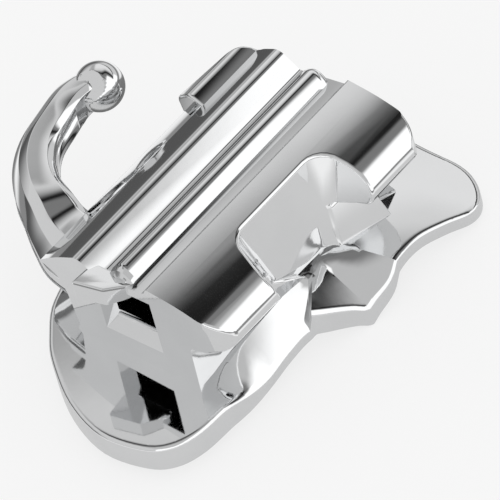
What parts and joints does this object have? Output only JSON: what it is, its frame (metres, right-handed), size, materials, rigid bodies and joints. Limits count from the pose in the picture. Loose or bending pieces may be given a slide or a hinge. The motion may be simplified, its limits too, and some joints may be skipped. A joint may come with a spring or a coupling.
{
  "type": "orthodontic buccal tube",
  "caption": "Metal molar tube on a curved bonding pad, with a rectangular wire channel under a ridged peel-off cap, tie wings and a ball-ended hook.",
  "frame": {"origin": "middle of the bounding box, at the height of the bonding pad's lowest rim", "axes": "+X along the wire channel from the end with the pull tab, +Y to the side of the hook (gingival), +Z away from the tooth"},
  "size_m": [0.0048, 0.004, 0.0017],
  "materials": {
    "steel": "mirror-polished stainless steel"
  },
  "bodies": {
    "root": {"buccal_tube": "steel"}
  },
  "joints": []
}
